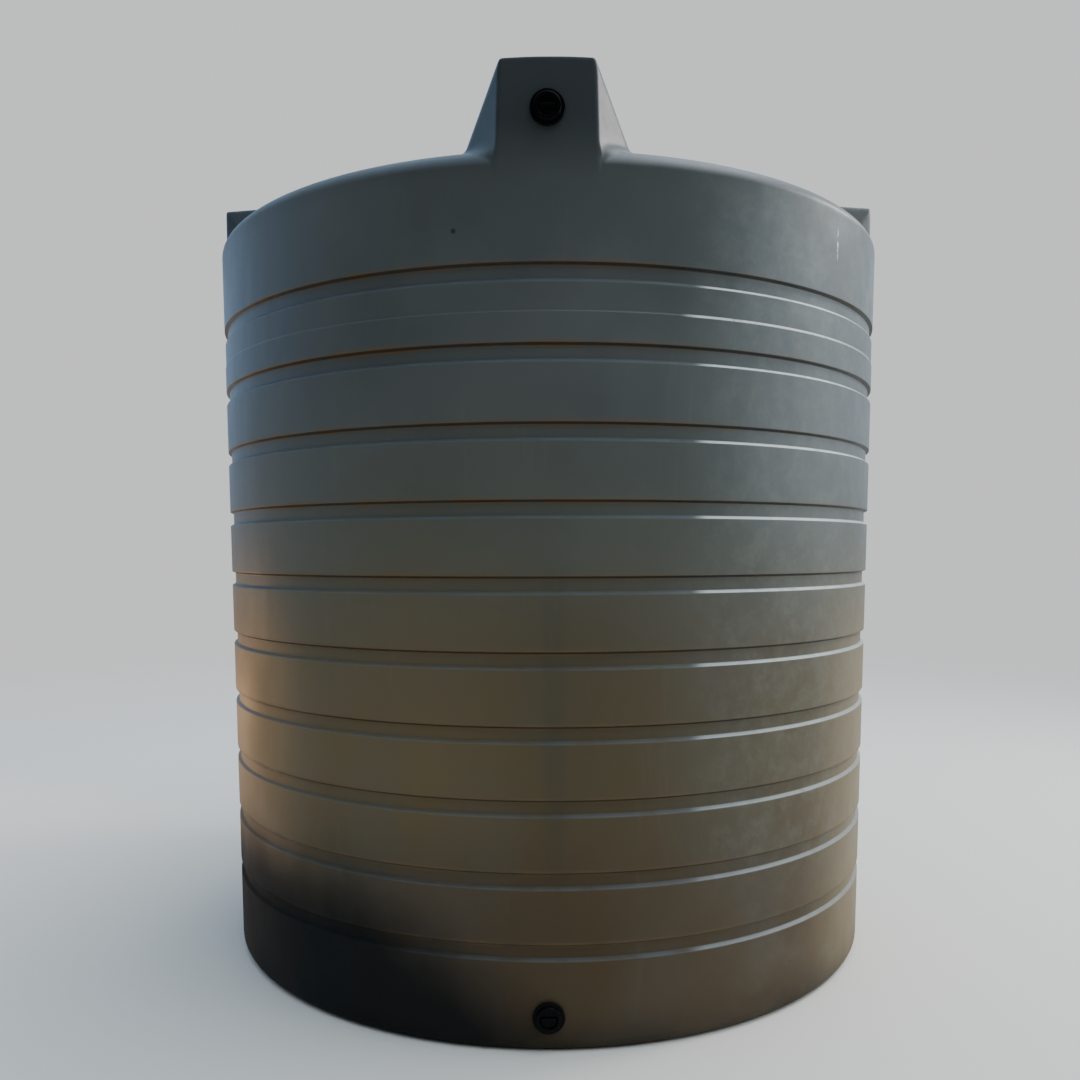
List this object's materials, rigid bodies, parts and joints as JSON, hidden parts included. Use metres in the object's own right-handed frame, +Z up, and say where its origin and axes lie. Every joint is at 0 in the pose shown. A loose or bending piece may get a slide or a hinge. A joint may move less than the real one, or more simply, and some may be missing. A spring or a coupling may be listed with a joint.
{
  "type": "water tank",
  "caption": "Upright round moulded storage tank with a grooved wall, shoulder bosses, a screw manhole lid and plugged threaded inlet and outlet ports.",
  "frame": {"origin": "middle of the flat floor that the tank stands on, on the tank's axis", "axes": "+Z up along the tank's axis, -Y towards the front, where the inlet boss and the outlet are"},
  "size_m": [2.281, 2.3006, 2.671],
  "materials": {
    "tank_plastic": "satin moulded polyethylene, dark olive grey, dusty and lightly scuffed",
    "black_plastic": "satin black moulded plastic",
    "black_rubber": "matt black rubber",
    "brass": "dull machined brass"
  },
  "bodies": {
    "tank": {"tank_shell": "tank_plastic", "inlet_ferrule": "brass", "outlet_ferrule": "brass"},
    "inlet_washer": {"inlet_washer": "black_rubber"},
    "inlet_plug": {"inlet_plug": "black_plastic"},
    "outlet_washer": {"outlet_washer": "black_rubber"},
    "outlet_plug": {"outlet_plug": "black_plastic"},
    "lid_seal": {"lid_seal": "black_rubber"},
    "lid": {"manhole_lid": "black_plastic"}
  },
  "joints": [
    {"name": "inlet_draw", "type": "slide", "parent": "tank", "child": "inlet_washer", "axis": [0, -1, 0], "range_m": [0, 0.0163]},
    {"name": "inlet_turn", "type": "hinge", "parent": "inlet_washer", "child": "inlet_plug", "pos_m": [0, -1.1405, 2.477], "axis": [0, -1, 0], "range_deg": [0, 2520]},
    {"name": "outlet_draw", "type": "slide", "parent": "tank", "child": "outlet_washer", "axis": [0, -1, 0], "range_m": [0, 0.0163]},
    {"name": "outlet_turn", "type": "hinge", "parent": "outlet_washer", "child": "outlet_plug", "pos_m": [0, -1.14, 0.103], "axis": [0, -1, 0], "range_deg": [0, 2520]},
    {"name": "lid_lift", "type": "slide", "parent": "tank", "child": "lid_seal", "axis": [0, 0, 1], "range_m": [0, 0.0181]},
    {"name": "lid_turn", "type": "hinge", "parent": "lid_seal", "child": "lid", "pos_m": [0, 0, 2.6264], "axis": [0, 0, 1], "range_deg": [0, 540]}
  ],
  "couplings": [
    {"joint": "inlet_draw", "follows": "inlet_turn", "m_per_rad": 0.00036749},
    {"joint": "outlet_draw", "follows": "outlet_turn", "m_per_rad": 0.00036749},
    {"joint": "lid_lift", "follows": "lid_turn", "m_per_rad": 0.0019099}
  ]
}
